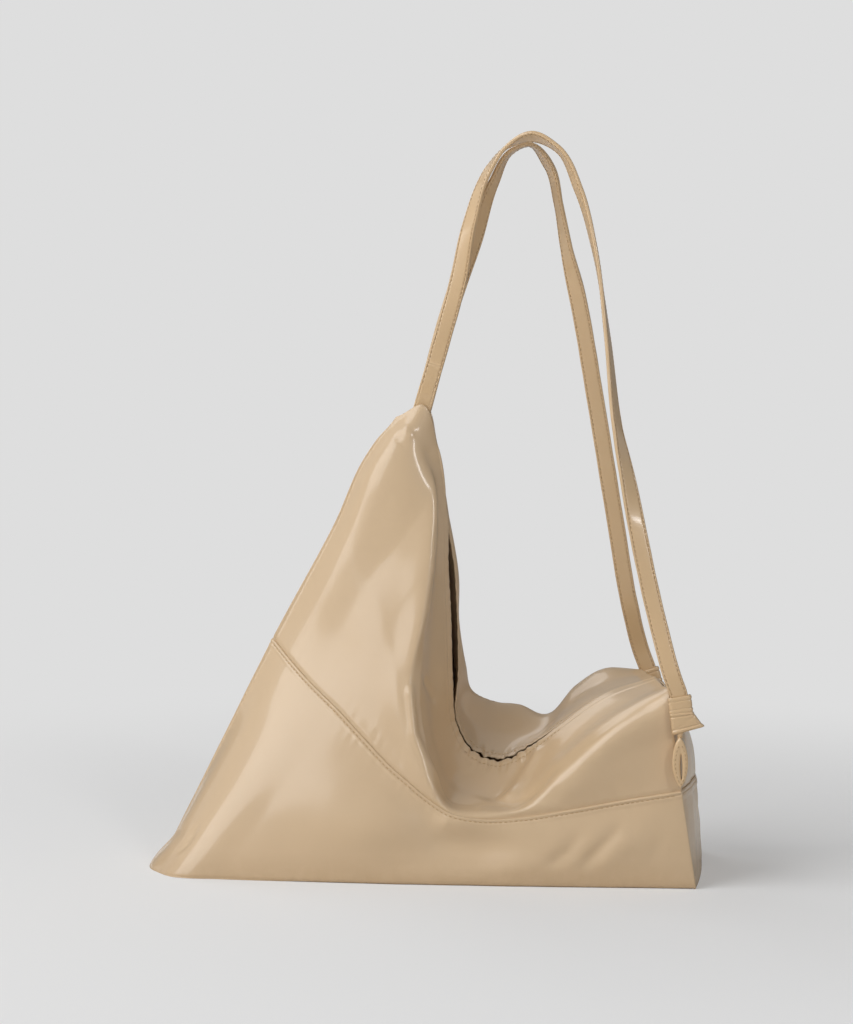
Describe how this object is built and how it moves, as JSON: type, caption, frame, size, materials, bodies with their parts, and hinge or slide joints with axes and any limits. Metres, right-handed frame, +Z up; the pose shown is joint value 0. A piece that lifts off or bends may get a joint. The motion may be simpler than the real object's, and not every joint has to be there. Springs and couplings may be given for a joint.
{
  "type": "trapeze bag",
  "caption": "Soft slanted shoulder bag that rises to a peak at one end and falls through a slack valley to a low end, with thin shoulder straps and a zip along its mouth.",
  "frame": {"origin": "middle of the base, on the surface that the bag stands on", "axes": "+X along the base from the peak end to the low end, +Y to the back, +Z up"},
  "size_m": [0.4719, 0.1882, 0.6282],
  "materials": {
    "body_leather": "smooth coated, satin gloss",
    "base_leather": "smooth coated, satin",
    "strap_leather": "smooth coated, satin gloss, edge-stitched",
    "board": "matt fibre board",
    "lining_cloth": "fine woven cloth",
    "zip_cloth": "woven tape",
    "zip_metal": "satin"
  },
  "bodies": {
    "bag": {"front_lower_panel": "body_leather", "front_upper_panel": "body_leather", "back_lower_panel": "body_leather", "back_upper_panel": "body_leather", "base_panel": "base_leather", "gusset_lower": "body_leather", "gusset_upper": "body_leather", "base_board": "board", "base_lining": "lining_cloth", "front_lining": "lining_cloth", "back_lining": "lining_cloth", "gusset_lining": "lining_cloth", "inner_pocket": "lining_cloth", "front_zip_tape": "zip_cloth", "back_zip_tape": "zip_cloth", "front_zip_teeth": "zip_metal", "back_zip_teeth": "zip_metal", "zip_stops": "zip_metal", "strap_anchor": "base_leather", "front_strap_root": "strap_leather", "back_strap_root": "strap_leather", "front_loop_tab": "strap_leather", "back_loop_tab": "strap_leather"},
    "front_strap": {"front_strap": "strap_leather", "front_keeper_band": "strap_leather", "front_wrap_band": "strap_leather"},
    "back_strap": {"back_strap": "strap_leather", "back_keeper_band": "strap_leather", "back_wrap_band": "strap_leather"},
    "zip_slider": {"zip_slider": "zip_metal"},
    "zip_pull": {"zip_pull": "zip_metal"}
  },
  "joints": [
    {"name": "front_strap_swing", "type": "hinge", "parent": "bag", "child": "front_strap", "pos_m": [-0.001, -0.0026, 0.406], "axis": [0.6066, -0.2301, -0.761], "range_deg": [0, 95]},
    {"name": "back_strap_swing", "type": "hinge", "parent": "bag", "child": "back_strap", "pos_m": [-0.001, 0.0026, 0.406], "axis": [-0.5571, -0.2482, 0.7925], "range_deg": [0, 95]},
    {"name": "zip_slide", "type": "slide", "parent": "bag", "child": "zip_slider", "axis": [-0.8012, 0, -0.5984], "range_m": [0, 0.025]},
    {"name": "zip_pull_flap", "type": "hinge", "parent": "zip_slider", "child": "zip_pull", "pos_m": [0.12899, 0, 0.12651], "axis": [0, 1, 0], "range_deg": [0, 150]}
  ]
}
